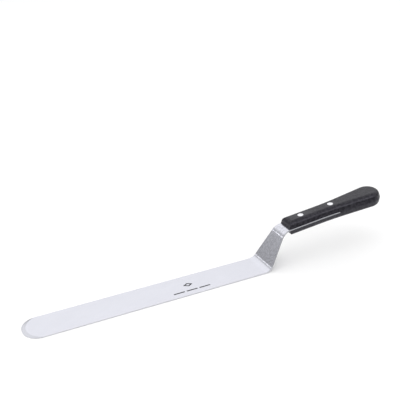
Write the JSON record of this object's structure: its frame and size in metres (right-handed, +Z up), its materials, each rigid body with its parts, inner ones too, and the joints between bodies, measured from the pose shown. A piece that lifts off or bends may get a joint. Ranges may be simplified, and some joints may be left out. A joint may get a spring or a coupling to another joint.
{
  "type": "offset spatula",
  "caption": "Long round-ended steel spreading blade on a cranked neck, with a flat riveted plastic handle above the blade's plane.",
  "frame": {"origin": "middle of the blade's flat underside, half way from its tip to its heel bend, on the centreline", "axes": "+X from the blade's tip towards the handle, +Y to the left of that, +Z up, away from the surface that the blade lies on"},
  "size_m": [0.3896, 0.0346, 0.0566],
  "materials": {
    "steel": "satin, finely ground along its length",
    "handle": "matte, finely grained",
    "rivet": "ground flush with the handle"
  },
  "bodies": {
    "root": {"blade_and_tang": "steel", "handle": "handle", "rivet_front_socket": "rivet", "rivet_front_pin": "rivet", "rivet_rear_socket": "rivet", "rivet_rear_pin": "rivet"}
  },
  "joints": []
}
